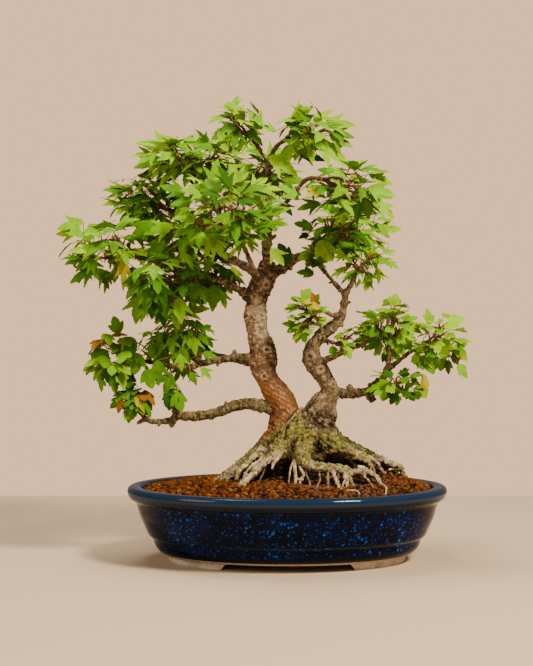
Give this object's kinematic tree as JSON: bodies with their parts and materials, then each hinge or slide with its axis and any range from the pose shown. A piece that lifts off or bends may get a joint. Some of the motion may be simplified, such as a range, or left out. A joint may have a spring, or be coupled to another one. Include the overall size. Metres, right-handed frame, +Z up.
{
  "type": "bonsai trident maple in a pot",
  "caption": "Bonsai trident maple with a pair of trunks on one flared root base, layered leaf pads, in an oval blue-glazed pot of granular soil.",
  "frame": {"origin": "on the table, under the middle of the whole plant's bounding box; the pot's own axis stands 27 mm to its right and 8 mm in front of it", "axes": "+Z up; -Y is the front that the picture shows, +X its right-hand side along the pot's long way"},
  "size_m": [0.382, 0.2392, 0.4302],
  "materials": {
    "blue_glaze": "gloss",
    "foot_clay": "matte",
    "soil_grit": "rough",
    "bark": "rough",
    "leaf_green": "satin"
  },
  "bodies": {
    "root": {"bough_back_left": "bark", "bough_back_right": "bark", "bough_back_top": "bark", "bough_crown_left": "bark", "bough_crown_right": "bark", "bough_front": "bark", "bough_left_back": "bark", "bough_left_drop": "bark", "bough_left_low": "bark", "bough_left_upper": "bark", "bough_low_left": "bark", "bough_low_tip": "bark", "bough_mid_back": "bark", "bough_mid_left": "bark", "bough_mid_left_side": "bark", "bough_middle": "bark", "bough_right": "bark", "bough_right_back": "bark", "bough_right_low": "bark", "bough_right_outer": "bark", "bough_right_up": "bark", "bough_small_right": "bark", "foot_left": "foot_clay", "foot_right": "foot_clay", "leader": "bark", "leader_left": "bark", "leaves_back_left": "leaf_green", "leaves_back_right": "leaf_green", "leaves_back_top": "leaf_green", "leaves_centre_lower": "leaf_green", "leaves_far_left": "leaf_green", "leaves_front": "leaf_green", "leaves_left_lower": "leaf_green", "leaves_left_top": "leaf_green", "leaves_left_upper": "leaf_green", "leaves_low_cluster": "leaf_green", "leaves_low_tip": "leaf_green", "leaves_mid_back": "leaf_green", "leaves_mid_inner": "leaf_green", "leaves_mid_outer": "leaf_green", "leaves_middle": "leaf_green", "leaves_right": "leaf_green", "leaves_right_back": "leaf_green", "leaves_right_inner": "leaf_green", "leaves_right_low": "leaf_green", "leaves_right_mass": "leaf_green", "leaves_right_outer": "leaf_green", "leaves_right_skirt": "leaf_green", "leaves_right_upper": "leaf_green", "leaves_small_right": "leaf_green", "leaves_top_left": "leaf_green", "leaves_top_right": "leaf_green", "pot": "blue_glaze", "second_left": "bark", "second_trunk": "bark", "soil": "soil_grit", "trunk": "bark"}
  },
  "joints": []
}
